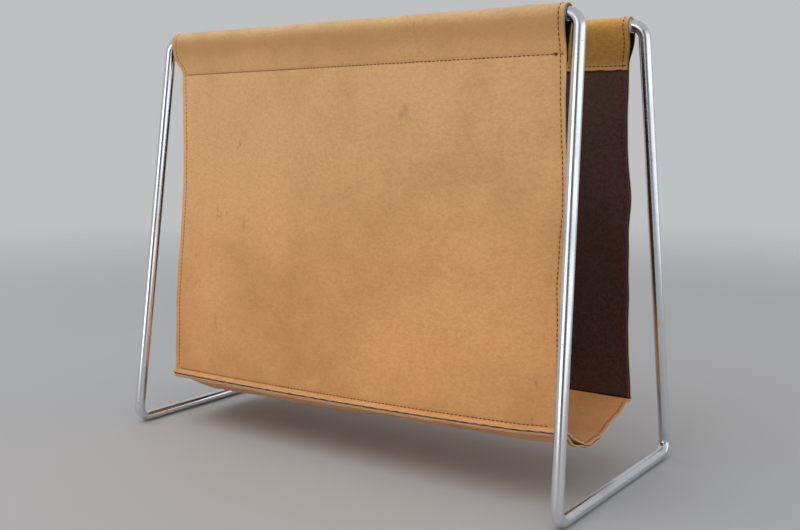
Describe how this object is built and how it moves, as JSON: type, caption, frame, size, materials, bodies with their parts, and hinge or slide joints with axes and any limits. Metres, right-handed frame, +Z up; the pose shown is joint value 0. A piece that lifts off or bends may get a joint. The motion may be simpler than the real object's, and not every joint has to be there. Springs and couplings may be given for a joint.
{
  "type": "magazine rack",
  "caption": "Sling magazine rack: a stitched suede sling with a dark lining hangs from top tubes held by trapezoid end frames of bent steel bar.",
  "frame": {"origin": "on the floor at the middle of the footprint, under the middle of the sling", "axes": "+X along the rack's length, to the right seen from the front; +Y from the front panel to the rear panel; +Z up"},
  "size_m": [0.4764, 0.2184, 0.3853],
  "materials": {
    "bar": "bright drawn steel bar with a satin polish",
    "tube": "bright thin-walled steel tube with cut ends",
    "suede": "tan suede, mottled and lightly worn, raw cut edges",
    "lining": "dark brown smooth leather",
    "thread": "dark reddish-brown waxed sewing thread"
  },
  "bodies": {
    "sling": {"front_top_tube": "tube", "rear_top_tube": "tube", "front_outer_panel": "suede", "front_lining": "lining", "rear_outer_panel": "suede", "rear_lining": "lining", "bottom_inner_sheet": "suede", "bottom_outer_sheet": "suede", "front_sleeve_seam": "thread", "front_bottom_seam": "thread", "front_left_side_seam": "thread", "front_right_side_seam": "thread", "rear_sleeve_seam": "thread", "rear_bottom_seam": "thread", "rear_left_side_seam": "thread", "rear_right_side_seam": "thread", "left_end_seam": "thread", "right_end_seam": "thread"},
    "left_frame": {"left_end_frame": "bar"},
    "right_frame": {"right_end_frame": "bar"}
  },
  "joints": [
    {"name": "left_frame_pull", "type": "slide", "parent": "sling", "child": "left_frame", "axis": [-1, 0, 0], "range_m": [0, 0.062]},
    {"name": "right_frame_pull", "type": "slide", "parent": "sling", "child": "right_frame", "axis": [1, 0, 0], "range_m": [0, 0.062]}
  ]
}
